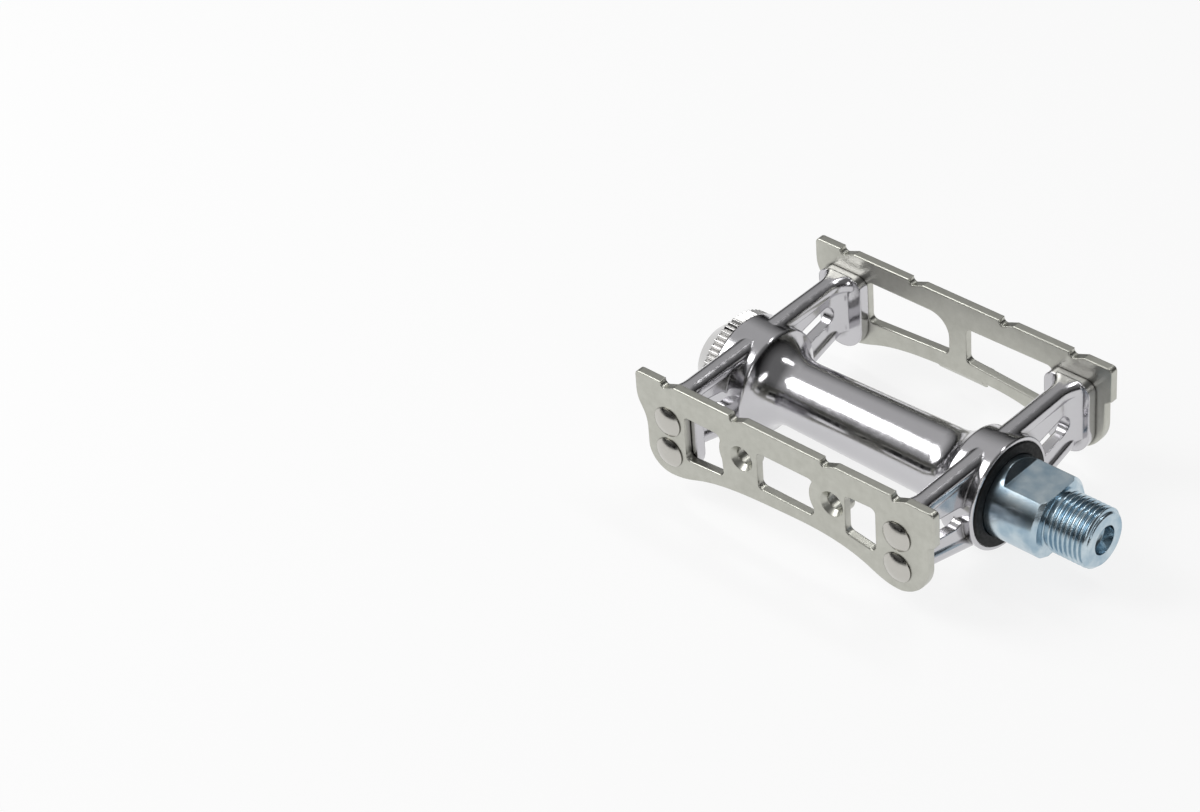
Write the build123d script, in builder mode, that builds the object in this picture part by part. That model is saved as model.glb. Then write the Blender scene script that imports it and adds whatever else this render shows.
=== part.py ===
from build123d import *
import os
from math import cos, radians, sin, sqrt, tan

# Right-hand track pedal, in millimetres. X runs along the spindle towards the crank, Z is up and
# -Y is the front, where a toe clip bolts on. The origin is the centre of the spindle's shoulder
# face, which seats on the crank arm: the thread stands out of it along +X. Places along the cage
# are measured from the cage's middle.

# Spindle thread, 9/16 in x 20 threads per inch
thread_diameter = 14.2875
thread_length = 11.6
thread_end_chamfer = 1.0
end_recess_diameter = 7.0
end_recess_depth = 2.6

# Spindle collar with its two wrench flats
collar_diameter = 19.2
collar_chamfer = 0.9
wrench_flats = 15.0
flats_length = 10.6
flats_runout = 1.6

# Cage: how far its middle lies from the shoulder, its width over the plates, and their sheet
cage_offset = 51.0
cage_width = 64.6
sheet = 2.2
sheet_edge_round = 0.3

# Outline of the cage plates
plate_top = 17.4
wing_overhang = 4.0
wing_foot = 12.6
wing_fullness = 5.0
wing_waist = 2.0
crank_end_overhang = 5.0
crank_lobe_overhang = 3.4
crank_end_step = 7.4
crank_lobe_fullness = 3.4
crank_lobe_low = -4.0
crank_lobe_high = 1.5
lobe_radius = 6.25
arch_top = 2.65
arch_shoulder = 0.72
arch_crank_shoulder = 0.66
plate_corner = 1.2

# Grip notches in the plates' top edge: a steep round wall, then a long ramp
notch_places = (-32.8, -13.0, 12.5, 31.7)
notch_depth = 1.25
notch_wall = 0.9
notch_ramp = 3.0

# Rivets, four to a plate
rivet_inset = 5.0
rivet_level = 7.0
rivet_pitch = 8.5
rivet_head_diameter = 7.3
rivet_head_height = 1.5
rivet_head_land = 0.3
rivet_diameter = 3.8
rivet_depth = 3.0
rivet_play = 0.02

# Toe clip holes in the front plate, M5 tapped, 1 in apart, drawn through the sheet
clip_spacing = 25.4
clip_middle = 1.7
clip_level = 6.9
clip_hole_diameter = 4.2
clip_funnel_diameter = 6.4
clip_collar_diameter = 6.8
clip_collar_height = 1.6
clip_web_radius = 6.4

# Windows, by the places of their upright edges along the cage and the levels of their corners.
# The outermost edges lie just past the feet.
window_corner = 1.3
front_edges = (-16.4, -6.5, 9.2, 18.0)
front_edge_lean = 0.8
front_end_clearances = (1.4, 0.3)
front_sills = (-1.4, -0.7, 1.0, 0.8, 0.8, -0.6)
front_heads = (10.5, 10.4, 10.7, 10.7, 10.9, 11.2)
rear_edges = (-2.7, 2.2)
rear_sills = (0.2, 1.5, 1.5, -0.5)
rear_heads = (11.4, 10.7, 11.0)
swept_corner = 5.5

# Flip tab on the rear plate
tab_middle = 0.4
tab_width = 11.6
tab_neck_width = 12.6
tab_bend_level = 3.2
tab_bend_round = 1.4
tab_length = 8.0
tab_slope = 24.0

# Hub and barrel of the body casting. Insets are measured from the hub's end faces.
hub_half_length = 37.2
hub_rim_diameter = 26.9
hub_crest_diameter = 25.6
hub_crest_inset = 9.2
hub_edge_round = 0.5
crest_round = 0.9
flare_inset = 16.7
barrel_crank_diameter = 17.4
barrel_cap_diameter = 15.8
barrel_bore = 12.8

# Arms of the casting, with a foot that carries the plate
arm_web = 2.5
arm_web_inset = 3.7
arm_drop = 4.3
arm_slope = 15.5
bar_inset = 4.6
bar_level = 10.5
bar_width = 4.8
bar_height = 4.2
bar_round = 1.9
rib_width = 4.2
rib_depth = 3.2
rib_round = 1.4
foot_overhang = 1.0
foot_width = 12.2
foot_top = 12.2
foot_bottom = 7.4
foot_thickness = 2.7
foot_corner = 2.6
flank_length = 4.5
inner_flank_spread = 3.8
outer_flank_spread = 2.4
flank_sink = 0.6
bar_flank_share = 0.8
slot_height = 5.4
slot_length = 12.6
slot_end = 25.0
slot_level = 2.3
slot_slope = 11.0

# Bearings: the same balls at both ends
ball_diameter = 3.969
ball_count = 11
ball_play = 0.07
crank_ball_pitch = 15.2
crank_ball_inset = 6.2
cap_ball_pitch = 14.4
cap_ball_inset = 6.6
cup_wall = 1.5
cup_lip = 1.8
cup_corner = 2.4
race_land = 0.5

# Seal at the crank end
seal_diameter = 24.8
seal_length = 2.6
seal_proud = 0.35
seal_play = 0.06
seal_edge_round = 0.3

# Spindle inside the body
collar_inset = 0.4
shaft_cap_diameter = 9.6
shaft_end_inset = 12.2
axle_thread_diameter = 8.0
thread_play = 0.02
cone_nose = 1.2
cone_length = 7.2
cone_diameter = 15.8
cone_flats = 12.6
cone_flats_length = 3.0
washer_thickness = 1.0
washer_diameter = 12.4
key_width = 1.8
key_depth = 1.0
key_play = 0.05
nut_flats = 12.0
nut_height = 4.2
nut_chamfer = 0.5
axle_proud = 0.8

# Dust cap, screwed into the hub
cap_thread_diameter = 22.8
cap_thread_length = 4.0
cap_ring_diameter = 26.4
cap_ring_width = 2.8
cap_teeth = 60
cap_tooth_depth = 0.6
cap_base_diameter = 24.8
cap_tip_diameter = 14.6
cap_cone_length = 5.6
cap_tip_rise = 1.2
cap_tip_round = 0.9
cap_wall = 1.3

# Worked out from the sizes above
plate_outer = cage_width / 2
plate_inner = plate_outer - sheet
rivet_place = hub_half_length - rivet_inset
wing_reach = hub_half_length + wing_overhang
crank_end_reach = hub_half_length + crank_end_overhang
crank_lobe_reach = hub_half_length + crank_lobe_overhang
rivet_low = rivet_level - rivet_pitch
lobe_bottom = rivet_low - lobe_radius
foot_back = plate_inner - foot_thickness
foot_outer_place = hub_half_length + foot_overhang
foot_inner_place = foot_outer_place - foot_width
arm_web_place = hub_half_length - arm_web_inset
bar_place = hub_half_length - bar_inset
hub_crest_place = hub_half_length - hub_crest_inset
flare_place = hub_half_length - flare_inset
shaft_end_place = hub_half_length - shaft_end_inset
crank_ball_place = hub_half_length - crank_ball_inset
cap_ball_place = hub_half_length - cap_ball_inset
race_radius = ball_diameter / 2 + ball_play
seal_seat = hub_half_length - seal_length
crank_cup_radius = crank_ball_pitch / 2 + race_radius + cup_wall
cap_cup_radius = cap_ball_pitch / 2 + race_radius + cup_wall
crank_cup_floor = crank_ball_place - race_radius - cup_wall
cap_cup_floor = cap_ball_place - race_radius - cup_wall
cone_start = cap_ball_place - cone_nose
washer_start = cone_start + cone_length
nut_start = washer_start + washer_thickness
axle_end = nut_start + nut_height + axle_proud
clip_places = [(clip_middle - clip_spacing / 2, clip_level), (clip_middle + clip_spacing / 2, clip_level)]
rivet_places = [(x, z) for x in (-rivet_place, rivet_place) for z in (rivet_level, rivet_low)]

# The cage seen from above, from the front and along the spindle, with the origin at its middle
cage_above = Plane(origin=(-cage_offset, 0, 0), x_dir=(1, 0, 0), z_dir=(0, 0, 1))
cage_front = Plane(origin=(-cage_offset, 0, 0), x_dir=(1, 0, 0), z_dir=(0, -1, 0))
cage_end = Plane(origin=(-cage_offset, 0, 0), x_dir=(0, 1, 0), z_dir=(1, 0, 0))

os.makedirs("parts", exist_ok=True)


def notch():
    """One grip notch, from the top edge down."""
    with BuildSketch() as cut:
        with BuildLine():
            wall = TangentArc((0, -notch_depth), (-notch_wall, 0), tangent=(-1, 0))
            Polyline(
                wall @ 1,
                (-notch_wall, notch_depth),
                (notch_ramp, notch_depth),
                (notch_ramp, 0),
                wall @ 0,
            )
        make_face()
    return cut.sketch


def plate_blank():
    """Outline of both plates: notched top, cut-away wing, round lobes and an arched bottom."""
    with BuildSketch() as blank:
        with BuildLine():
            wing = Bezier(
                (-wing_reach, wing_foot),
                (-wing_reach, wing_foot - wing_fullness),
                (-rivet_place - lobe_radius, wing_waist + lobe_radius),
                (-rivet_place - lobe_radius, wing_waist),
            )
            waist = Line(wing @ 1, (-rivet_place - lobe_radius, rivet_low))
            lobe = RadiusArc(waist @ 1, (-rivet_place, lobe_bottom), -lobe_radius)
            arch = Spline(
                lobe @ 1,
                (-arch_shoulder * rivet_place, arch_shoulder * lobe_bottom),
                (0, -arch_top),
                (arch_shoulder / 2 * rivet_place, -arch_top),
                (arch_shoulder * rivet_place, arch_crank_shoulder * lobe_bottom),
                (rivet_place, lobe_bottom),
                tangents=((1, 0), (1, 0)),
            )
            crank_lobe = Bezier(
                arch @ 1,
                (rivet_place + crank_lobe_fullness, lobe_bottom),
                (crank_lobe_reach, crank_lobe_low),
                (crank_lobe_reach, crank_lobe_high),
            )
            Polyline(
                crank_lobe @ 1,
                (crank_lobe_reach, crank_end_step),
                (crank_end_reach, crank_end_step + plate_corner),
                (crank_end_reach, plate_top),
                (-wing_reach, plate_top),
                wing @ 0,
            )
        make_face()
        fillet(blank.vertices().group_by(Axis.Y)[-1], plate_corner)
        with Locations([(place, plate_top) for place in notch_places]):
            add(notch(), mode=Mode.SUBTRACT)
    return blank.sketch


def window(*corners, webs=()):
    """A window with rounded corners, cut back round the webs that carry the toe clip holes."""
    with BuildSketch() as opening:
        with BuildLine():
            Polyline(*corners, close=True)
        make_face()
        fillet(opening.vertices(), window_corner)
        for web in webs:
            with Locations(web):
                Circle(clip_web_radius, mode=Mode.SUBTRACT)
    return opening.sketch


def stem(place, width, flank_share=1.0):
    """Plan of one member of an arm: straight from the hub, then spreading hollow into the foot."""
    root = foot_back - flank_length
    with BuildSketch() as plan:
        with BuildLine():
            inner_flank = TangentArc(
                (place - width / 2, root),
                (place - width / 2 - flank_share * inner_flank_spread, foot_back + flank_sink),
                tangent=(0, 1),
            )
            outer_flank = TangentArc(
                (place + width / 2, root),
                (place + width / 2 + flank_share * outer_flank_spread, foot_back + flank_sink),
                tangent=(0, 1),
            )
            Line(inner_flank @ 1, outer_flank @ 1)
            Polyline(inner_flank @ 0, (place - width / 2, 0), (place + width / 2, 0), outer_flank @ 0)
        make_face()
    return plan.sketch


def cup_section(place, pitch, side):
    """Half section of a bearing cup: a pressed shell with its race round the balls."""
    middle = pitch / 2
    diagonal = race_radius / sqrt(2)
    outer = middle + race_radius + cup_wall
    floor = place - race_radius - cup_wall
    with BuildSketch() as section:
        with BuildLine():
            race = ThreePointArc(
                (side * place, middle + race_radius),
                (side * (place - diagonal), middle + diagonal),
                (side * (place - race_radius), middle),
            )
            Polyline(
                race @ 1,
                (side * (place - race_radius), middle - race_land),
                (side * floor, middle - race_land),
                (side * floor, outer),
                (side * (place + cup_lip), outer),
                (side * (place + cup_lip), middle + race_radius),
                race @ 0,
            )
        make_face()
        fillet(section.vertices().sort_by_distance((side * floor, outer))[0], cup_corner)
    return section.sketch


# Front cage plate: stamped sheet with three windows and two tapped holes for a toe clip
with BuildPart() as front_plate:
    with BuildSketch(cage_front.offset(plate_inner)):
        add(plate_blank())
        add(
            window(
                (-foot_inner_place - front_end_clearances[0], front_sills[0]),
                (front_edges[0], front_sills[1]),
                (front_edges[0] - front_edge_lean, front_heads[1]),
                (-foot_inner_place - front_end_clearances[0], front_heads[0]),
                webs=clip_places,
            ),
            mode=Mode.SUBTRACT,
        )
        add(
            window(
                (front_edges[1], front_sills[2]),
                (front_edges[2], front_sills[3]),
                (front_edges[2], front_heads[3]),
                (front_edges[1], front_heads[2]),
                webs=clip_places[1:],
            ),
            mode=Mode.SUBTRACT,
        )
        add(
            window(
                (front_edges[3], front_sills[4]),
                (foot_inner_place + front_end_clearances[1], front_sills[5]),
                (foot_inner_place + front_end_clearances[1], front_heads[5]),
                (front_edges[3], front_heads[4]),
            ),
            mode=Mode.SUBTRACT,
        )
    extrude(amount=sheet)
    fillet(front_plate.faces().filter_by(Axis.Y).edges(), sheet_edge_round)
    with Locations(cage_front.offset(plate_inner)):
        with Locations(*clip_places):
            Cylinder(
                clip_collar_diameter / 2,
                clip_collar_height,
                align=(Align.CENTER, Align.CENTER, Align.MAX),
            )
    with Locations(cage_front.offset(plate_outer)):
        with Locations(*clip_places):
            CounterSinkHole(clip_hole_diameter / 2, clip_funnel_diameter / 2)
        with Locations(*rivet_places):
            Hole(rivet_diameter / 2 + rivet_play)
front_plate.part.label = "front_plate"
export_step(front_plate.part, "parts/front_plate.step")

# Flip tab: a tongue of the rear plate's sheet, bent out below the arch
with BuildPart() as flip_tab:
    with BuildSketch(cage_end):
        with BuildLine() as bend:
            FilletPolyline(
                (plate_outer - sheet / 2, -arch_top + sheet),
                (plate_outer - sheet / 2, -tab_bend_level),
                (
                    plate_outer - sheet / 2 + tab_length * cos(radians(tab_slope)),
                    -tab_bend_level - tab_length * sin(radians(tab_slope)),
                ),
                radius=tab_bend_round + sheet / 2,
            )
        trace(line_width=sheet)
    extrude(amount=tab_neck_width, both=True)
    with BuildSketch(cage_above.offset(-plate_top)) as tongue:
        with Locations((tab_middle, plate_outer - sheet / 2)):
            Rectangle(tab_neck_width, sheet)
            Ellipse(tab_width / 2, tab_length + sheet / 2)
    extrude(amount=2 * plate_top, mode=Mode.INTERSECT)

# Rear cage plate: the same stamping with two windows and the tab
with BuildPart() as rear_plate:
    with BuildSketch(cage_front.offset(-plate_outer)):
        add(plate_blank())
        with BuildSketch(mode=Mode.SUBTRACT) as swept_window:
            with BuildLine():
                Polyline(
                    (-foot_inner_place, rear_sills[0]),
                    (rear_edges[0], rear_sills[1]),
                    (rear_edges[0], rear_heads[0]),
                    (-foot_inner_place, rear_heads[0]),
                    close=True,
                )
            make_face()
            corners = swept_window.vertices()
            fillet(corners.sort_by_distance((rear_edges[0], rear_heads[0]))[0], swept_corner)
            fillet(swept_window.vertices().group_by(Axis.X)[0], window_corner)
            corners = swept_window.vertices()
            fillet(corners.sort_by_distance((rear_edges[0], rear_sills[1]))[0], window_corner)
        add(
            window(
                (rear_edges[1], rear_sills[2]),
                (foot_inner_place, rear_sills[3]),
                (foot_inner_place, rear_heads[2]),
                (rear_edges[1], rear_heads[1]),
            ),
            mode=Mode.SUBTRACT,
        )
    extrude(amount=sheet)
    fillet(rear_plate.faces().filter_by(Axis.Y).edges(), sheet_edge_round)
    add(flip_tab.part)
    with Locations(cage_front.offset(-plate_inner)):
        with Locations(*rivet_places):
            Hole(rivet_diameter / 2 + rivet_play)
rear_plate.part.label = "rear_plate"
export_step(rear_plate.part, "parts/rear_plate.step")

# Rivets: domed heads on the plates, shanks set in the feet of the body
rivet_number = 0
for side in (-1, 1):
    for x, z in rivet_places:
        rivet_number += 1
        head_base = side * plate_outer
        shank_end = side * (plate_inner - rivet_depth)
        with BuildPart() as rivet:
            with BuildSketch(Plane(origin=(-cage_offset + x, 0, z), z_dir=(0, 0, 1))):
                with BuildLine():
                    dome = TangentArc(
                        (0, head_base + side * rivet_head_height),
                        (rivet_head_diameter / 2, head_base + side * rivet_head_land),
                        tangent=(1, 0),
                    )
                    Polyline(
                        dome @ 1,
                        (rivet_head_diameter / 2, head_base),
                        (rivet_diameter / 2, head_base),
                        (rivet_diameter / 2, shank_end),
                        (0, shank_end),
                        dome @ 0,
                    )
                make_face()
            revolve(axis=Axis((-cage_offset + x, 0, z), (0, 1, 0)))
        rivet.part.label = f"rivet_{rivet_number}"
        export_step(rivet.part, f"parts/rivet_{rivet_number}.step")

# One arm of the body, at the rear of the crank end: a round bar on top, a thin web with a slot,
# a ridge below and the foot, with hollow flanks where they spread into it
with BuildPart() as arm_bar:
    with BuildSketch(cage_above.offset(bar_level - bar_height / 2)):
        add(stem(bar_place, bar_width, bar_flank_share))
    extrude(amount=bar_height)
    fillet(
        arm_bar.faces().filter_by(Axis.Z).edges().filter_by_position(Axis.Y, 1, foot_back),
        bar_round,
    )

rib_plane = Plane(
    origin=cage_end.from_local_coords((foot_back, rib_depth / 2 - arm_drop, arm_web_place)),
    x_dir=(1, 0, 0),
    z_dir=(0, -cos(radians(arm_slope)), -sin(radians(arm_slope))),
)
with BuildPart() as arm_rib:
    with BuildSketch(rib_plane.offset(-foot_thickness / 2)):
        RectangleRounded(rib_width, rib_depth, rib_round)
    extrude(amount=foot_back)

with BuildPart() as arm:
    with BuildSketch(cage_above.offset(-foot_bottom)):
        add(stem(arm_web_place, arm_web))
    extrude(amount=bar_level + foot_bottom)
    with BuildSketch(cage_end):
        with BuildLine():
            Polyline(
                (0, bar_level),
                (plate_inner, bar_level),
                (plate_inner, rib_depth / 2 - arm_drop),
                (foot_back, rib_depth / 2 - arm_drop),
                (0, rib_depth / 2 - arm_drop - foot_back * tan(radians(arm_slope))),
                close=True,
            )
        make_face()
    extrude(amount=foot_outer_place, mode=Mode.INTERSECT)
    add(arm_rib.part)
    add(arm_bar.part)
    with BuildSketch(cage_end):
        with Locations((slot_end - slot_length / 2, slot_level)):
            SlotOverall(slot_length, slot_height, rotation=slot_slope)
    extrude(amount=foot_outer_place, mode=Mode.SUBTRACT)
    with BuildSketch(cage_front.offset(-plate_inner)) as foot_outline:
        with BuildLine():
            foot_end = JernArc((foot_inner_place, foot_width / 2 - foot_bottom), (0, -1), foot_width / 2, 180)
            Polyline(
                foot_end @ 1,
                (foot_outer_place, foot_top),
                (foot_inner_place, foot_top),
                foot_end @ 0,
            )
        make_face()
        fillet(foot_outline.vertices().group_by(Axis.Y)[-1], foot_corner)
    extrude(amount=foot_thickness)

# Body: hub, barrel and arms, cast in one and bored from both ends
with BuildPart() as body:
    add(arm.part)
    mirror(about=cage_end)
    mirror(about=Plane.XZ)
    with BuildSketch(cage_above) as hub_section:
        with BuildLine():
            barrel = Line(
                (-flare_place, barrel_cap_diameter / 2), (flare_place, barrel_crank_diameter / 2)
            )
            crank_flare = TangentArc(
                barrel @ 1, (hub_crest_place, hub_crest_diameter / 2), tangent=barrel % 1
            )
            cap_flare = TangentArc(
                barrel @ 0, (-hub_crest_place, hub_crest_diameter / 2), tangent=-(barrel % 0)
            )
            Polyline(
                crank_flare @ 1,
                (hub_half_length, hub_rim_diameter / 2),
                (hub_half_length, 0),
                (-hub_half_length, 0),
                (-hub_half_length, hub_rim_diameter / 2),
                cap_flare @ 1,
            )
        make_face()
        crests = hub_section.vertices().filter_by_position(
            Axis.Y, hub_crest_diameter / 2 - 0.01, hub_crest_diameter / 2 + 0.01
        )
        fillet(crests, crest_round)
        rims = hub_section.vertices().group_by(Axis.Y)[-1]
        fillet(rims, hub_edge_round)
    revolve(axis=Axis.X)
    with BuildSketch(cage_above) as bore_section:
        with BuildLine():
            Polyline(
                (hub_half_length, 0),
                (hub_half_length, seal_diameter / 2),
                (seal_seat, seal_diameter / 2),
                (seal_seat, crank_cup_radius),
                (crank_cup_floor, crank_cup_radius),
                (crank_cup_floor, barrel_bore / 2),
                (-cap_cup_floor, barrel_bore / 2),
                (-cap_cup_floor, cap_cup_radius),
                (cap_thread_length - hub_half_length, cap_cup_radius),
                (cap_thread_length - hub_half_length, cap_thread_diameter / 2),
                (-hub_half_length, cap_thread_diameter / 2),
                (-hub_half_length, 0),
                close=True,
            )
        make_face()
        corners = bore_section.vertices()
        fillet(corners.sort_by_distance((crank_cup_floor, crank_cup_radius))[0], cup_corner)
        corners = bore_section.vertices()
        fillet(corners.sort_by_distance((-cap_cup_floor, cap_cup_radius))[0], cup_corner)
    revolve(axis=Axis.X, mode=Mode.SUBTRACT)
    for plate_side in (1, -1):
        with Locations(cage_front.offset(plate_side * plate_inner)):
            with Locations(*rivet_places):
                Cylinder(
                    rivet_diameter / 2 + rivet_play,
                    2 * rivet_depth,
                    mode=Mode.SUBTRACT,
                )
body.part.label = "body"
export_step(body.part, "parts/body.step")

# Bearing cups, hardened steel pressings set in the body
with BuildPart() as crank_side_cup:
    with BuildSketch(cage_above):
        add(cup_section(crank_ball_place, crank_ball_pitch, 1))
    revolve(axis=Axis.X)
crank_side_cup.part.label = "crank_side_cup"
export_step(crank_side_cup.part, "parts/crank_side_cup.step")

with BuildPart() as cap_side_cup:
    with BuildSketch(cage_above):
        add(cup_section(cap_ball_place, cap_ball_pitch, -1))
    revolve(axis=Axis.X)
cap_side_cup.part.label = "cap_side_cup"
export_step(cap_side_cup.part, "parts/cap_side_cup.step")

# Loose balls, a full ring at each end
with BuildPart() as crank_side_balls:
    with Locations(cage_end.offset(crank_ball_place)):
        with PolarLocations(crank_ball_pitch / 2, ball_count):
            Sphere(ball_diameter / 2)
crank_side_balls.part.label = "crank_side_balls"
export_step(crank_side_balls.part, "parts/crank_side_balls.step")

with BuildPart() as cap_side_balls:
    with Locations(cage_end.offset(-cap_ball_place)):
        with PolarLocations(cap_ball_pitch / 2, ball_count):
            Sphere(ball_diameter / 2)
cap_side_balls.part.label = "cap_side_balls"
export_step(cap_side_balls.part, "parts/cap_side_balls.step")

# Seal: a rubber ring in the mouth of the hub, just clear of the spindle's collar
with BuildPart() as seal_ring:
    with BuildSketch(cage_end.offset(seal_seat)):
        Circle(seal_diameter / 2)
        Circle(collar_diameter / 2 + seal_play, mode=Mode.SUBTRACT)
    extrude(amount=seal_length + seal_proud)
    fillet(seal_ring.faces().sort_by(Axis.X)[-1].edges(), seal_edge_round)
seal_ring.part.label = "seal_ring"
export_step(seal_ring.part, "parts/seal_ring.step")

# Spindle: thread, collar with wrench flats, ground race, tapering shaft and the axle thread
collar_start = crank_ball_place + race_radius + collar_inset
diagonal = race_radius / sqrt(2)
with BuildPart() as spindle:
    with BuildSketch(cage_above):
        with BuildLine():
            race = ThreePointArc(
                (crank_ball_place, crank_ball_pitch / 2 - race_radius),
                (crank_ball_place + diagonal, crank_ball_pitch / 2 - diagonal),
                (crank_ball_place + race_radius, crank_ball_pitch / 2),
            )
            Polyline(
                race @ 1,
                (collar_start, crank_ball_pitch / 2),
                (collar_start, collar_diameter / 2),
                (cage_offset - collar_chamfer, collar_diameter / 2),
                (cage_offset, collar_diameter / 2 - collar_chamfer),
                (cage_offset, thread_diameter / 2),
                (cage_offset + thread_length - thread_end_chamfer, thread_diameter / 2),
                (cage_offset + thread_length, thread_diameter / 2 - thread_end_chamfer),
                (cage_offset + thread_length, end_recess_diameter / 2),
                (cage_offset + thread_length - end_recess_depth, end_recess_diameter / 2),
                (cage_offset + thread_length - end_recess_depth - end_recess_diameter / 4, 0),
                (-axle_end, 0),
                (-axle_end, axle_thread_diameter / 2),
                (-shaft_end_place, axle_thread_diameter / 2),
                (-shaft_end_place, shaft_cap_diameter / 2),
                race @ 0,
            )
        make_face()
    revolve(axis=Axis.X)
    with BuildSketch(Plane.XZ):
        with BuildLine():
            Polyline(
                (0, wrench_flats / 2),
                (-flats_length, wrench_flats / 2),
                (-flats_length - flats_runout, collar_diameter / 2),
                (-flats_length - flats_runout, collar_diameter),
                (0, collar_diameter),
                close=True,
            )
        make_face()
        mirror(about=Plane.XZ)
    extrude(amount=collar_diameter, both=True, mode=Mode.SUBTRACT)
    with BuildSketch(cage_end.offset(-washer_start)):
        with Locations((0, axle_thread_diameter / 2 - key_depth / 2)):
            Rectangle(key_width + 2 * key_play, key_depth)
    extrude(amount=-(axle_end - washer_start), mode=Mode.SUBTRACT)
spindle.part.label = "spindle"
export_step(spindle.part, "parts/spindle.step")

# Adjusting cone: screws along the axle to set the play of the bearings
with BuildPart() as adjusting_cone:
    with BuildSketch(cage_above):
        with BuildLine():
            race = ThreePointArc(
                (-cap_ball_place, cap_ball_pitch / 2 - race_radius),
                (-cap_ball_place - diagonal, cap_ball_pitch / 2 - diagonal),
                (-cap_ball_place - race_radius, cap_ball_pitch / 2),
            )
            Polyline(
                race @ 1,
                (-cap_ball_place - race_radius, cone_diameter / 2),
                (-washer_start, cone_diameter / 2),
                (-washer_start, axle_thread_diameter / 2 + thread_play),
                (-cone_start, axle_thread_diameter / 2 + thread_play),
                (-cone_start, cap_ball_pitch / 2 - race_radius),
                race @ 0,
            )
        make_face()
    revolve(axis=Axis.X)
    with BuildSketch(cage_end.offset(-washer_start)):
        Rectangle(2 * cone_diameter, 2 * cone_diameter)
        Rectangle(2 * cone_diameter, cone_flats, mode=Mode.SUBTRACT)
    extrude(amount=cone_flats_length, mode=Mode.SUBTRACT)
adjusting_cone.part.label = "adjusting_cone"
export_step(adjusting_cone.part, "parts/adjusting_cone.step")

# Lock washer: its inner key rides in the axle's groove and keeps the cone from turning
with BuildPart() as lock_washer:
    with BuildSketch(cage_end.offset(-washer_start)):
        Circle(washer_diameter / 2)
        Circle(axle_thread_diameter / 2 + thread_play, mode=Mode.SUBTRACT)
        with Locations((0, axle_thread_diameter / 2 + thread_play - key_depth / 2 + key_play)):
            Rectangle(key_width, key_depth)
    extrude(amount=-washer_thickness)
lock_washer.part.label = "lock_washer"
export_step(lock_washer.part, "parts/lock_washer.step")

# Locknut: clamps washer and cone
with BuildPart() as locknut:
    with BuildSketch(cage_end.offset(-nut_start)):
        RegularPolygon(nut_flats / 2, 6, major_radius=False)
        Circle(axle_thread_diameter / 2 + thread_play, mode=Mode.SUBTRACT)
    extrude(amount=-nut_height)
    with BuildSketch(cage_end.offset(-nut_start - nut_height)):
        Circle(nut_flats / 2 - nut_chamfer / 2)
    extrude(amount=nut_height + washer_thickness, taper=-45, mode=Mode.INTERSECT)
locknut.part.label = "locknut"
export_step(locknut.part, "parts/locknut.step")

# Dust cap: knurled ring and smooth cone, turned in one and screwed into the hub
cap_face = -hub_half_length
cap_base = cap_face - cap_ring_width
cap_tip = cap_base - cap_cone_length
with BuildPart() as dust_cap:
    with BuildSketch(cage_above) as cap_section:
        with BuildLine():
            tip = TangentArc(
                (cap_tip - cap_tip_rise, 0), (cap_tip, cap_tip_diameter / 2), tangent=(0, 1)
            )
            Polyline(
                tip @ 0,
                (cap_face + cap_thread_length, 0),
                (cap_face + cap_thread_length, cap_thread_diameter / 2 - thread_play),
                (cap_face, cap_thread_diameter / 2 - thread_play),
                (cap_face, cap_ring_diameter / 2),
                (cap_base, cap_ring_diameter / 2),
                (cap_base, cap_base_diameter / 2),
                tip @ 1,
            )
        make_face()
        corners = cap_section.vertices()
        fillet(corners.sort_by_distance((cap_tip, cap_tip_diameter / 2))[0], cap_tip_round)
    revolve(axis=Axis.X)
    with BuildSketch(cage_above):
        with BuildLine():
            Polyline(
                (cap_face + cap_thread_length, 0),
                (cap_face + cap_thread_length, cap_thread_diameter / 2 - thread_play - cap_wall),
                (cap_base, cap_base_diameter / 2 - cap_wall),
                (cap_tip + cap_wall / 2, cap_tip_diameter / 2 - cap_wall / 2),
                (cap_tip + cap_wall / 2, 0),
                close=True,
            )
        make_face()
    revolve(axis=Axis.X, mode=Mode.SUBTRACT)
    with BuildSketch(cage_end.offset(cap_face)):
        with PolarLocations(cap_ring_diameter / 2, cap_teeth):
            Rectangle(sqrt(2) * cap_tooth_depth, sqrt(2) * cap_tooth_depth, rotation=45)
    extrude(amount=-cap_ring_width, mode=Mode.SUBTRACT)
dust_cap.part.label = "dust_cap"
export_step(dust_cap.part, "parts/dust_cap.step")
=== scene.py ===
from math import cos, pi, radians, sin

import bmesh
import bpy
from mathutils import Matrix, Vector


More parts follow.
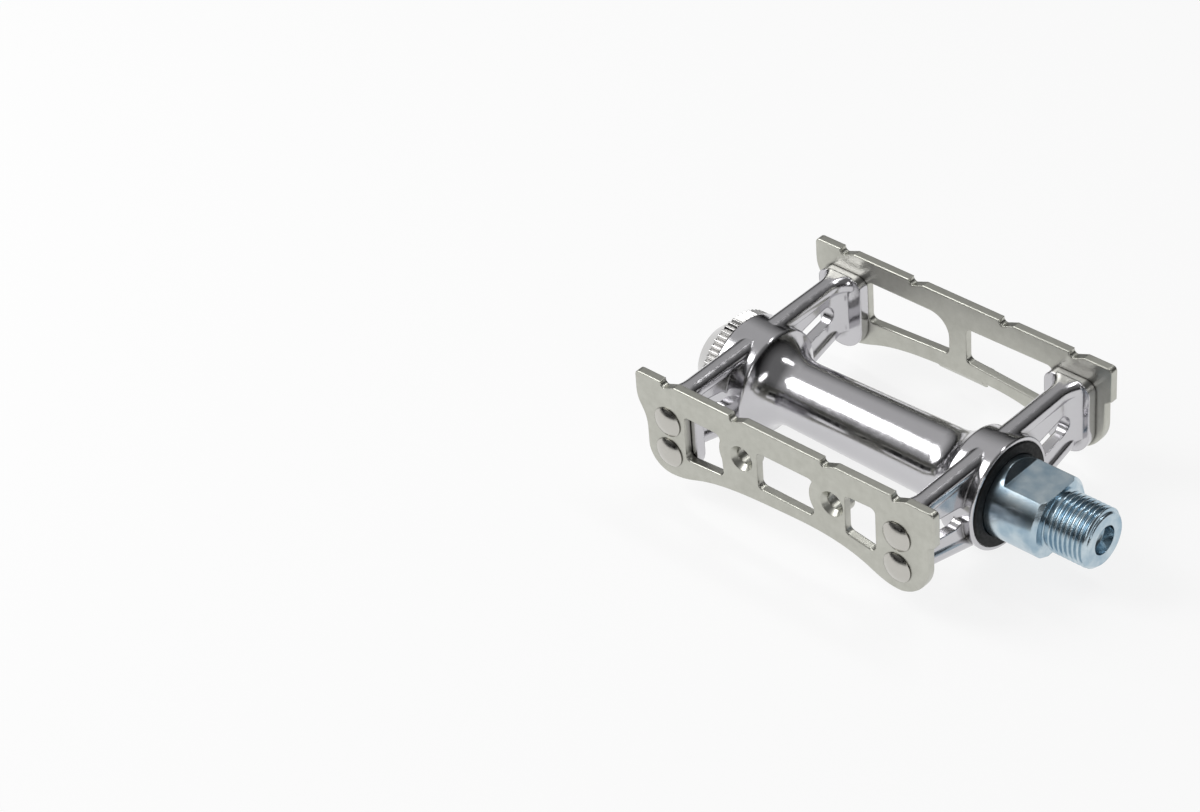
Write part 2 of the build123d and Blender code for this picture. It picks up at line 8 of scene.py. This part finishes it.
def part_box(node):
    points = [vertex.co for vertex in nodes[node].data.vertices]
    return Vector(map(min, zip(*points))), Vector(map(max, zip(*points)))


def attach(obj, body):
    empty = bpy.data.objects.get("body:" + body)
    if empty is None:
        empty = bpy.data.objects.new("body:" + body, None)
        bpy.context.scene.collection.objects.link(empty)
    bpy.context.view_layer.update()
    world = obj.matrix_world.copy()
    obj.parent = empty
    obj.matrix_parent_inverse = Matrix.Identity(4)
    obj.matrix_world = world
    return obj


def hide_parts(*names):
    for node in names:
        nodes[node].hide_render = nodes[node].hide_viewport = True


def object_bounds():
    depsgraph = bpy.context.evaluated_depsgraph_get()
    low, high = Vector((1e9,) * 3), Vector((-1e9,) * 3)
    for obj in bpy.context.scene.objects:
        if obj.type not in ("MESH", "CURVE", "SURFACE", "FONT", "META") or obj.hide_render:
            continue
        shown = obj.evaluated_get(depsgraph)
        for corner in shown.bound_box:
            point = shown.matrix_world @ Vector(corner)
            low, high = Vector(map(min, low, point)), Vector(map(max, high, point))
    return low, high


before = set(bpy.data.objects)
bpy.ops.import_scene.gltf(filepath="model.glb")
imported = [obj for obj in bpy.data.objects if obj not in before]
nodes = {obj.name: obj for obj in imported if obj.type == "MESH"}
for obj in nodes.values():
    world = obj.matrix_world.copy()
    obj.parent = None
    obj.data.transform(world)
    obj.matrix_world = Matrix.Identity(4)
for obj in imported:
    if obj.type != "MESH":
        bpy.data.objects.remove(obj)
cad_low, cad_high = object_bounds()


# Cage plates: front_plate and rear_plate
# Stamped from 2.2 mm aluminium sheet, tumbled, and anodised to a satin silver with a faint warm
# cast. The finish is mottled, the sheared edges are slightly rounded, and the corners are darkened
# with painted shade.


def linear(code):
    """Scene-linear colour of an sRGB hex code."""
    parts = [int(code[i : i + 2], 16) / 255 for i in (0, 2, 4)]
    return [p / 12.92 if p <= 0.04045 else ((p + 0.055) / 1.055) ** 2.4 for p in parts] + [1.0]


def empty_material(name):
    """A new material and its node tree, with nothing in it."""
    material = bpy.data.materials.new(name)
    material.use_nodes = True
    material.node_tree.nodes.clear()
    return material, material.node_tree


def add_node(tree, kind, inputs=None, **settings):
    """Adds a shader node. An input is a constant or the output socket it is fed from."""
    node = tree.nodes.new(kind)
    for name, value in settings.items():
        setattr(node, name, value)
    for name, value in (inputs or {}).items():
        if isinstance(value, bpy.types.NodeSocket):
            tree.links.new(value, node.inputs[name])
        else:
            node.inputs[name].default_value = value
    return node


def patchy(tree, place, patch_mm, detail, low, high):
    """Output of a value that wanders between low and high, in patches of about patch_mm.

    A Noise node keeps mostly between 0.3 and 0.7.
    """
    patches = add_node(
        tree,
        "ShaderNodeTexNoise",
        {"Vector": place.outputs["Object"], "Scale": 1000 / patch_mm, "Detail": detail},
    )
    value = add_node(
        tree,
        "ShaderNodeMapRange",
        {
            "Value": patches.outputs["Fac"],
            "From Min": 0.3,
            "From Max": 0.7,
            "To Min": low,
            "To Max": high,
        },
    )
    return value.outputs["Result"]


# A Mix node's colour sockets go by number, as their names are shared with its other sockets
first_colour, second_colour, mixed_colour = 6, 7, 2


def painted_corner_shade(tree, unshaded, painted_shade, corner_mm, closed, open_to_air):
    """Output of a colour darkened by painted shade in corners of about corner_mm.

    The painted shade is full where the open share of the surroundings is down to closed, and gone
    where it reaches open_to_air.
    """
    openness = add_node(
        tree, "ShaderNodeAmbientOcclusion", {"Distance": corner_mm / 1000}, samples=8
    )
    unshaded_share = add_node(
        tree,
        "ShaderNodeMapRange",
        {
            "Value": openness.outputs["AO"],
            "From Min": closed,
            "From Max": open_to_air,
            "To Min": 0.0,
            "To Max": 1.0,
        },
    )
    colour = add_node(
        tree,
        "ShaderNodeMix",
        {"Factor": unshaded_share.outputs["Result"], first_colour: painted_shade, second_colour: unshaded},
        data_type="RGBA",
    )
    return colour.outputs[mixed_colour]


satin_anodised, tree = empty_material("satin anodised aluminium")
place = add_node(tree, "ShaderNodeTexCoord")

# The grain of the rolled sheet is finer than this, and is drawn coarser so that it shows
grain_mm = 0.25
grain_height_mm = 0.03
edge_round_mm = 0.35
edge = add_node(tree, "ShaderNodeBevel", {"Radius": edge_round_mm / 1000}, samples=6)
grain = add_node(
    tree,
    "ShaderNodeTexNoise",
    {"Vector": place.outputs["Object"], "Scale": 1000 / grain_mm, "Detail": 3.0},
)
relief = add_node(
    tree,
    "ShaderNodeBump",
    {
        "Strength": 0.3,
        "Distance": grain_height_mm / 1000,
        "Height": grain.outputs["Fac"],
        "Normal": edge.outputs["Normal"],
    },
)
mottle_mm = 2.5
mottle = add_node(
    tree,
    "ShaderNodeTexNoise",
    {
        "Vector": place.outputs["Object"],
        "Scale": 1000 / mottle_mm,
        "Detail": 6.0,
        "Roughness": 0.65,
    },
)
anodising = add_node(
    tree,
    "ShaderNodeMix",
    {
        "Factor": mottle.outputs["Fac"],
        first_colour: linear("AEAEA5"),
        second_colour: linear("CDCDC5"),
    },
    data_type="RGBA",
)
# Painted shade: the corners and creases of the plates are darkened where ambient occlusion finds
# them closed in.
colour = painted_corner_shade(
    tree,
    unshaded=anodising.outputs[mixed_colour],
    painted_shade=linear("4A4842"),
    corner_mm=0.9,
    closed=0.25,
    open_to_air=0.85,
)
handling_mm = 14.0
sheen = patchy(tree, place, patch_mm=handling_mm, detail=4.0, low=0.28, high=0.4)
surface = add_node(
    tree,
    "ShaderNodeBsdfPrincipled",
    {
        "Base Color": colour,
        "Metallic": 1.0,
        "Roughness": sheen,
        "Normal": relief.outputs["Normal"],
    },
)
add_node(tree, "ShaderNodeOutputMaterial", {"Surface": surface.outputs["BSDF"]})
for name in ("front_plate", "rear_plate"):
    nodes[name].material_slots[0].material = satin_anodised


# Body
# One aluminium casting, machined at the hub and then buffed all over. Buffing leaves the mirror
# gently wavy and a little hazy, with fine lines along the spindle, and rounds every edge.

buffed_casting, tree = empty_material("buffed cast aluminium")
place = add_node(tree, "ShaderNodeTexCoord")
edge_round_mm = 0.6
edge = add_node(tree, "ShaderNodeBevel", {"Radius": edge_round_mm / 1000}, samples=6)
wave_mm = 5.0
wave_height_mm = 0.1
wave = add_node(
    tree,
    "ShaderNodeTexNoise",
    {"Vector": place.outputs["Object"], "Scale": 1000 / wave_mm, "Detail": 1.5},
)
swell = add_node(
    tree,
    "ShaderNodeBump",
    {
        "Strength": 0.2,
        "Distance": wave_height_mm / 1000,
        "Height": wave.outputs["Fac"],
        "Normal": edge.outputs["Normal"],
    },
)

# The lines of the buffing wheel are finer than this, and are drawn coarser so that they show
line_mm = 0.35
line_height_mm = 0.01
line_stretch = 0.06
along = add_node(
    tree,
    "ShaderNodeMapping",
    {"Vector": place.outputs["Object"], "Scale": (line_stretch, 1.0, 1.0)},
)
lines = add_node(
    tree,
    "ShaderNodeTexNoise",
    {"Vector": along.outputs["Vector"], "Scale": 1000 / line_mm, "Detail": 2.0},
)
relief = add_node(
    tree,
    "ShaderNodeBump",
    {
        "Strength": 0.25,
        "Distance": line_height_mm / 1000,
        "Height": lines.outputs["Fac"],
        "Normal": swell.outputs["Normal"],
    },
)
# Painted shade: corners and creases of the casting are darkened where ambient occlusion finds them
# closed in.
colour = painted_corner_shade(
    tree,
    unshaded=linear("C8C7CA"),
    painted_shade=linear("55534F"),
    corner_mm=2.0,
    closed=0.2,
    open_to_air=0.8,
)
haze_mm = 1.2
polish = patchy(tree, place, patch_mm=haze_mm, detail=5.0, low=0.1, high=0.2)
surface = add_node(
    tree,
    "ShaderNodeBsdfPrincipled",
    {
        "Base Color": colour,
        "Metallic": 1.0,
        "Roughness": polish,
        "Normal": relief.outputs["Normal"],
    },
)
add_node(tree, "ShaderNodeOutputMaterial", {"Surface": surface.outputs["BSDF"]})
nodes["body"].material_slots[0].material = buffed_casting


# Rivets
# Nickel-plated steel, with heads formed in a die: smooth domes, scuffed here and there, with a
# line of painted shade where they meet the plate.


def shade_round(piece):
    """Shades a round piece smoothly up to its sharp edges, by the size of its faces."""
    weld = piece.modifiers.new("weld", "WELD")
    weld.merge_threshold = 1e-6
    split = piece.modifiers.new("split", "EDGE_SPLIT")
    split.split_angle = radians(30)
    smooth = piece.modifiers.new("smooth", "WEIGHTED_NORMAL")
    smooth.mode = "FACE_AREA_WITH_ANGLE"


nickel_plated, tree = empty_material("nickel plated steel")
place = add_node(tree, "ShaderNodeTexCoord")
# Painted shade: the rivets darken where they meet the plate, where ambient occlusion finds them
# closed in.
colour = painted_corner_shade(
    tree,
    unshaded=linear("C2C0BA"),
    painted_shade=linear("36342F"),
    corner_mm=0.7,
    closed=0.4,
    open_to_air=0.9,
)
scuff_mm = 0.6
polish = patchy(tree, place, patch_mm=scuff_mm, detail=4.0, low=0.16, high=0.26)
surface = add_node(
    tree,
    "ShaderNodeBsdfPrincipled",
    {"Base Color": colour, "Metallic": 1.0, "Roughness": polish},
)
add_node(tree, "ShaderNodeOutputMaterial", {"Surface": surface.outputs["BSDF"]})
for number in range(1, 9):
    rivet = nodes[f"rivet_{number}"]
    rivet.material_slots[0].material = nickel_plated
    shade_round(rivet)


# Dust cap
# Turned from aluminium bar, knurled round its ring and polished on the lathe, so that the cone
# has the faintest rings left by the tool. The knurl is darkened with painted shade.

turned_polish, tree = empty_material("turned and polished aluminium")
place = add_node(tree, "ShaderNodeTexCoord")
edge_round_mm = 0.2
edge = add_node(tree, "ShaderNodeBevel", {"Radius": edge_round_mm / 1000}, samples=6)

# A Wave node draws a band every 2 pi / 20 at a scale of 1
wave_band = 2 * pi / 20

# The rings of the tool are closer than this, and are drawn wider apart so that they show
ring_mm = 2.2
ring_height_mm = 0.01
rings = add_node(
    tree,
    "ShaderNodeTexWave",
    {
        "Vector": place.outputs["Object"],
        "Scale": 1000 * wave_band / ring_mm,
        "Distortion": 0.4,
        "Detail": 1.0,
    },
    bands_direction="X",
)
relief = add_node(
    tree,
    "ShaderNodeBump",
    {
        "Strength": 0.05,
        "Distance": ring_height_mm / 1000,
        "Height": rings.outputs["Fac"],
        "Normal": edge.outputs["Normal"],
    },
)
# Painted shade: the knurl and the corners of the cap are darkened where ambient occlusion finds
# them closed in.
colour = painted_corner_shade(
    tree,
    unshaded=linear("BEBDBC"),
    painted_shade=linear("2E2D2A"),
    corner_mm=0.8,
    closed=0.3,
    open_to_air=0.9,
)
surface = add_node(
    tree,
    "ShaderNodeBsdfPrincipled",
    {
        "Base Color": colour,
        "Metallic": 1.0,
        "Roughness": 0.14,
        "Normal": relief.outputs["Normal"],
    },
)
add_node(tree, "ShaderNodeOutputMaterial", {"Surface": surface.outputs["BSDF"]})
nodes["dust_cap"].material_slots[0].material = turned_polish
shade_round(nodes["dust_cap"])


# Spindle
# Forged steel, turned, and zinc plated with a blue passivation that clouds slightly. The 9/16 in
# thread, 20 to the inch, is rolled, with a relief groove at the shoulder and a chamfered start.

blue_zinc, tree = empty_material("blue passivated zinc on steel")
place = add_node(tree, "ShaderNodeTexCoord")
cloud_mm = 4.0
tint = add_node(
    tree,
    "ShaderNodeMix",
    {
        "Factor": patchy(tree, place, patch_mm=cloud_mm, detail=3.0, low=0.0, high=1.0),
        first_colour: linear("9DB5C5"),
        second_colour: linear("C9D7DE"),
    },
    data_type="RGBA",
)
edge_round_mm = 0.2
edge = add_node(tree, "ShaderNodeBevel", {"Radius": edge_round_mm / 1000}, samples=6)

# The marks of the turning tool are closer than this, and are drawn wider apart too
turning_mm = 1.9
turning_height_mm = 0.01
turning = add_node(
    tree,
    "ShaderNodeTexWave",
    {
        "Vector": place.outputs["Object"],
        "Scale": 1000 * wave_band / turning_mm,
        "Distortion": 1.0,
        "Detail": 2.0,
    },
    bands_direction="X",
)
relief = add_node(
    tree,
    "ShaderNodeBump",
    {
        "Strength": 0.1,
        "Distance": turning_height_mm / 1000,
        "Height": turning.outputs["Fac"],
        "Normal": edge.outputs["Normal"],
    },
)
surface = add_node(
    tree,
    "ShaderNodeBsdfPrincipled",
    {
        "Base Color": tint.outputs[mixed_colour],
        "Metallic": 1.0,
        "Roughness": 0.23,
        "Normal": relief.outputs["Normal"],
    },
)
add_node(tree, "ShaderNodeOutputMaterial", {"Surface": surface.outputs["BSDF"]})

thread_radius = 14.2875e-3 / 2
thread_pitch = 25.4e-3 / 20
thread_depth = 0.62 * thread_pitch
root_share = 0.12
crest_share = 0.18
thread_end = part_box("spindle")[1].x
thread_chamfer = 1.0e-3
relief_end = 1.1e-3
steps_along = 190
steps_round = 96


def thread_surface(x, turn):
    """Radius of the rolled thread at x along the spindle and at a share of a turn round it."""
    flank = abs(2 * ((x / thread_pitch - turn) % 1.0) - 1)
    rise = min(1.0, max(0.0, (flank - root_share) / (1 - root_share - crest_share)))
    groove = thread_depth * (1 - rise * rise * (3 - 2 * rise))
    if x < relief_end:
        groove = thread_depth
    chamfer = x - (thread_end - thread_chamfer)
    return thread_radius - max(groove, chamfer)


# A copy of the spindle's mesh, without the plain sides of its threaded end. The slacks are wider
# than the rounding of the mesh.
mesh = nodes["spindle"].data.copy()
mesh.name = "spindle_threaded"
shell = bmesh.new()
shell.from_mesh(mesh)
place_slack = 1e-5
radius_slack = 2e-5
innermost = thread_radius - thread_chamfer - radius_slack
outermost = thread_radius + radius_slack
plain = []
for face in shell.faces:
    along = [v.co.x for v in face.verts]
    reach = [Vector((v.co.y, v.co.z)).length for v in face.verts]
    sloping_or_level = max(along) - min(along) > place_slack
    past_shoulder = min(along) > -place_slack
    on_side = min(reach) > innermost and max(reach) < outermost
    if past_shoulder and sloping_or_level and on_side:
        plain.append(face)
bmesh.ops.delete(shell, geom=plain, context="FACES")

# The thread in their place, from the shoulder to the end
grid = []
for i in range(steps_along + 1):
    x = thread_end * i / steps_along
    ring = []
    for j in range(steps_round):
        angle = 2 * pi * j / steps_round
        radius = thread_surface(x, j / steps_round) if i else thread_radius
        ring.append(shell.verts.new((x, radius * cos(angle), radius * sin(angle))))
    grid.append(ring)
for i in range(steps_along):
    for j in range(steps_round):
        k = (j + 1) % steps_round
        face = shell.faces.new((grid[i][j], grid[i][k], grid[i + 1][k], grid[i + 1][j]))
        face.smooth = True
shell.to_mesh(mesh)
shell.free()
spindle_threaded = bpy.data.objects.new("spindle_threaded", mesh)
bpy.context.scene.collection.objects.link(spindle_threaded)
spindle_threaded.material_slots[0].material = blue_zinc
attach(spindle_threaded, "axle")
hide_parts("spindle")


# Seal
# A moulded ring of black nitrile rubber, pressed into the mouth of the hub: matt, and dull where
# dust has settled on it.

nitrile, tree = empty_material("black nitrile rubber")
place = add_node(tree, "ShaderNodeTexCoord")
dust_mm = 0.8
matt = patchy(tree, place, patch_mm=dust_mm, detail=4.0, low=0.5, high=0.7)
surface = add_node(
    tree,
    "ShaderNodeBsdfPrincipled",
    {"Base Color": linear("101011"), "Roughness": matt, "Specular IOR Level": 0.3},
)
add_node(tree, "ShaderNodeOutputMaterial", {"Surface": surface.outputs["BSDF"]})
nodes["seal_ring"].material_slots[0].material = nitrile


# Bearings and their fastenings: cups, balls, cone, washer and locknut
# Hardened and ground steel, close to a mirror, for what the balls run on. Washer and nut are
# plain machined steel, duller and darker.

run_on = ("crank_side_cup", "cap_side_cup", "crank_side_balls", "cap_side_balls", "adjusting_cone")
clamped = ("lock_washer", "locknut")
for finish, code, roughness, names in (
    ("ground bearing steel", "BDBDBE", 0.12, run_on),
    ("machined plain steel", "9A9A9B", 0.34, clamped),
):
    steel, tree = empty_material(finish)
    surface = add_node(
        tree,
        "ShaderNodeBsdfPrincipled",
        {"Base Color": linear(code), "Metallic": 1.0, "Roughness": roughness},
    )
    add_node(tree, "ShaderNodeOutputMaterial", {"Surface": surface.outputs["BSDF"]})
    for name in names:
        nodes[name].material_slots[0].material = steel


# Studio
# A white floor that glows for the camera and in the metal, so that it stays white and still
# takes a shadow. The sky is dark low down and on the right, and softboxes draw bright bands.

white_floor, tree = empty_material("white studio floor")
pure_white = (1.0, 1.0, 1.0, 1.0)
paper_white = (0.92, 0.92, 0.92, 1.0)
glow_share = 0.82
matt_white = add_node(tree, "ShaderNodeBsdfDiffuse", {"Color": paper_white})
glow = add_node(tree, "ShaderNodeEmission", {"Color": pure_white, "Strength": 1.02})
path = add_node(tree, "ShaderNodeLightPath")
mirrored = add_node(
    tree,
    "ShaderNodeMath",
    {0: path.outputs["Is Glossy Ray"], 1: path.outputs["Is Transmission Ray"]},
    operation="MAXIMUM",
)
seen = add_node(
    tree,
    "ShaderNodeMath",
    {0: path.outputs["Is Camera Ray"], 1: mirrored.outputs[0]},
    operation="MAXIMUM",
)
share = add_node(tree, "ShaderNodeMath", {0: seen.outputs[0], 1: glow_share}, operation="MULTIPLY")
blend = add_node(
    tree,
    "ShaderNodeMixShader",
    {0: share.outputs[0], 1: matt_white.outputs["BSDF"], 2: glow.outputs["Emission"]},
)
add_node(tree, "ShaderNodeOutputMaterial", {"Surface": blend.outputs["Shader"]})
floor_half = 3
floor_gap = 0.0001
floor_mesh = bpy.data.meshes.new("floor")
floor_mesh.from_pydata(
    [
        (-floor_half, -floor_half, 0),
        (floor_half, -floor_half, 0),
        (floor_half, floor_half, 0),
        (-floor_half, floor_half, 0),
    ],
    [],
    [(0, 1, 2, 3)],
)
floor_mesh.materials.append(white_floor)
floor = bpy.data.objects.new("floor", floor_mesh)
bpy.context.scene.collection.objects.link(floor)
floor.location.z = cad_low.z - floor_gap

world = bpy.data.worlds.new("studio")
world.use_nodes = True
bpy.context.scene.world = world
tree = world.node_tree
tree.nodes.clear()
direction = add_node(tree, "ShaderNodeTexCoord")
parts = add_node(tree, "ShaderNodeSeparateXYZ", {"Vector": direction.outputs["Generated"]})
upward = add_node(
    tree,
    "ShaderNodeMapRange",
    {
        "Value": parts.outputs["Z"],
        "From Min": 0.2,
        "From Max": 0.7,
        "To Min": 0.012,
        "To Max": 0.58,
    },
)
leftward = add_node(
    tree,
    "ShaderNodeMapRange",
    {
        "Value": parts.outputs["X"],
        "From Min": -0.5,
        "From Max": 0.1,
        "To Min": 1.0,
        "To Max": 0.3,
    },
)
brightness = add_node(
    tree,
    "ShaderNodeMath",
    {0: upward.outputs["Result"], 1: leftward.outputs["Result"]},
    operation="MULTIPLY",
)
sky = add_node(
    tree,
    "ShaderNodeBackground",
    {"Color": pure_white, "Strength": brightness.outputs[0]},
)
add_node(tree, "ShaderNodeOutputWorld", {"Surface": sky.outputs["Background"]})

middle_of_cage = Vector((-0.051, 0.0, 0.0))
for name, stand, spread, watts in (
    ("softbox_left", (-0.52, -0.27, 0.47), (0.3, 0.46), 2.6),
    ("softbox_top", (0.0, 0.3, 0.6), (0.4, 0.07), 0.7),
    ("softbox_right", (0.5, -0.35, 0.3), (0.12, 0.3), 0.5),
):
    lamp = bpy.data.lights.new(name, "AREA")
    lamp.shape = "RECTANGLE"
    lamp.size, lamp.size_y = spread
    lamp.energy = watts
    softbox = bpy.data.objects.new(name, lamp)
    bpy.context.scene.collection.objects.link(softbox)
    softbox.location = stand
    towards = middle_of_cage - Vector(stand)
    softbox.rotation_euler = towards.to_track_quat("-Z", "Y").to_euler()


# Camera
# Stands where the photo's camera stood, solved from the cage, the rims and the thread as known
# shapes. Its focal length is in pixels of the photo, which is 1200 wide.

azimuth, elevation, roll = radians(45.16), radians(37.75), radians(-4.87)
distance, focal_px, photo_width_px = 0.8286, 3738.87, 1200
shift_right, shift_up = 0.06085, -0.00518
back = Vector((sin(azimuth) * cos(elevation), -cos(azimuth) * cos(elevation), sin(elevation)))
level_right = Vector((cos(azimuth), sin(azimuth), 0.0))
level_up = back.cross(level_right)
right = level_right * cos(roll) + level_up * sin(roll)
up = level_up * cos(roll) - level_right * sin(roll)
lens = bpy.data.cameras.new("camera")
lens.sensor_width = 36.0
lens.lens = focal_px * lens.sensor_width / photo_width_px
lens.clip_start, lens.clip_end = 0.05, 20.0
camera = bpy.data.objects.new("camera", lens)
bpy.context.scene.collection.objects.link(camera)
stand = middle_of_cage + back * distance - right * shift_right - up * shift_up
turn = Matrix((right, up, back)).transposed().to_4x4()
camera.matrix_world = Matrix.Translation(stand) @ turn
bpy.context.scene.camera = camera

bpy.context.scene.view_settings.view_transform = "Standard"
